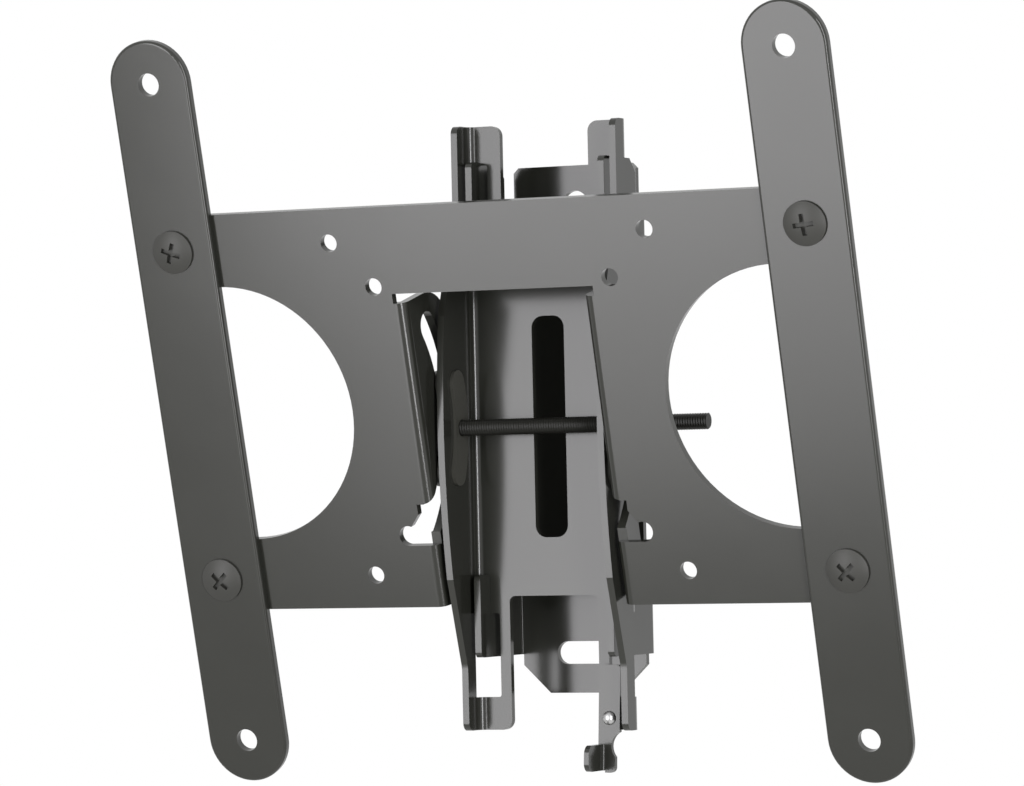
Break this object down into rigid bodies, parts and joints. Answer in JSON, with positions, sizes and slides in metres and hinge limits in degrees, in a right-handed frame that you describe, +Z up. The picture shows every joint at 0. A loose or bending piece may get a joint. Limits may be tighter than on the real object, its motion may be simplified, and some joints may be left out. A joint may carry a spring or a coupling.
{
  "type": "tilting tv wall bracket",
  "caption": "Small tilting wall bracket for a television: folded wall plate, hanging channel, tilting face plate and two adapter bars, in dark powder-coated steel.",
  "frame": {"origin": "centre of the wall plate's back face, where it meets the wall", "axes": "+Z up, +Y into the wall, +X to the right as seen from the room"},
  "size_m": [0.2258, 0.0829, 0.2186],
  "materials": {
    "powder_coat": "satin",
    "black_steel": "satin",
    "zinc_steel": "satin",
    "nylon": "matte"
  },
  "bodies": {
    "wall_unit": {"wall_plate": "powder_coat", "hanging_channel": "powder_coat", "left_arc_guide": "nylon", "right_arc_guide": "nylon", "tilt_rod": "black_steel", "left_clamp_washer": "zinc_steel", "right_clamp_washer": "zinc_steel", "tilt_lock_nut": "zinc_steel", "latch_rivet": "zinc_steel"},
    "tilt_head": {"face_plate": "powder_coat", "left_adapter_bar": "powder_coat", "right_adapter_bar": "powder_coat", "upper_left_bar_screw": "black_steel", "upper_right_bar_screw": "black_steel", "lower_left_bar_screw": "black_steel", "lower_right_bar_screw": "black_steel", "upper_left_bar_nut": "zinc_steel", "upper_right_bar_nut": "zinc_steel", "lower_left_bar_nut": "zinc_steel", "lower_right_bar_nut": "zinc_steel"},
    "latch": {"latch_lever": "powder_coat"}
  },
  "joints": [
    {"name": "tilt", "type": "hinge", "parent": "wall_unit", "child": "tilt_head", "pos_m": [0, -0.0752, -0.0057], "axis": [-1, 0, 0], "range_deg": [0, 20]},
    {"name": "latch_pivot", "type": "hinge", "parent": "wall_unit", "child": "latch", "pos_m": [0.0179, -0.024, -0.0909], "axis": [0, -1, 0], "range_deg": [0, 30]}
  ]
}
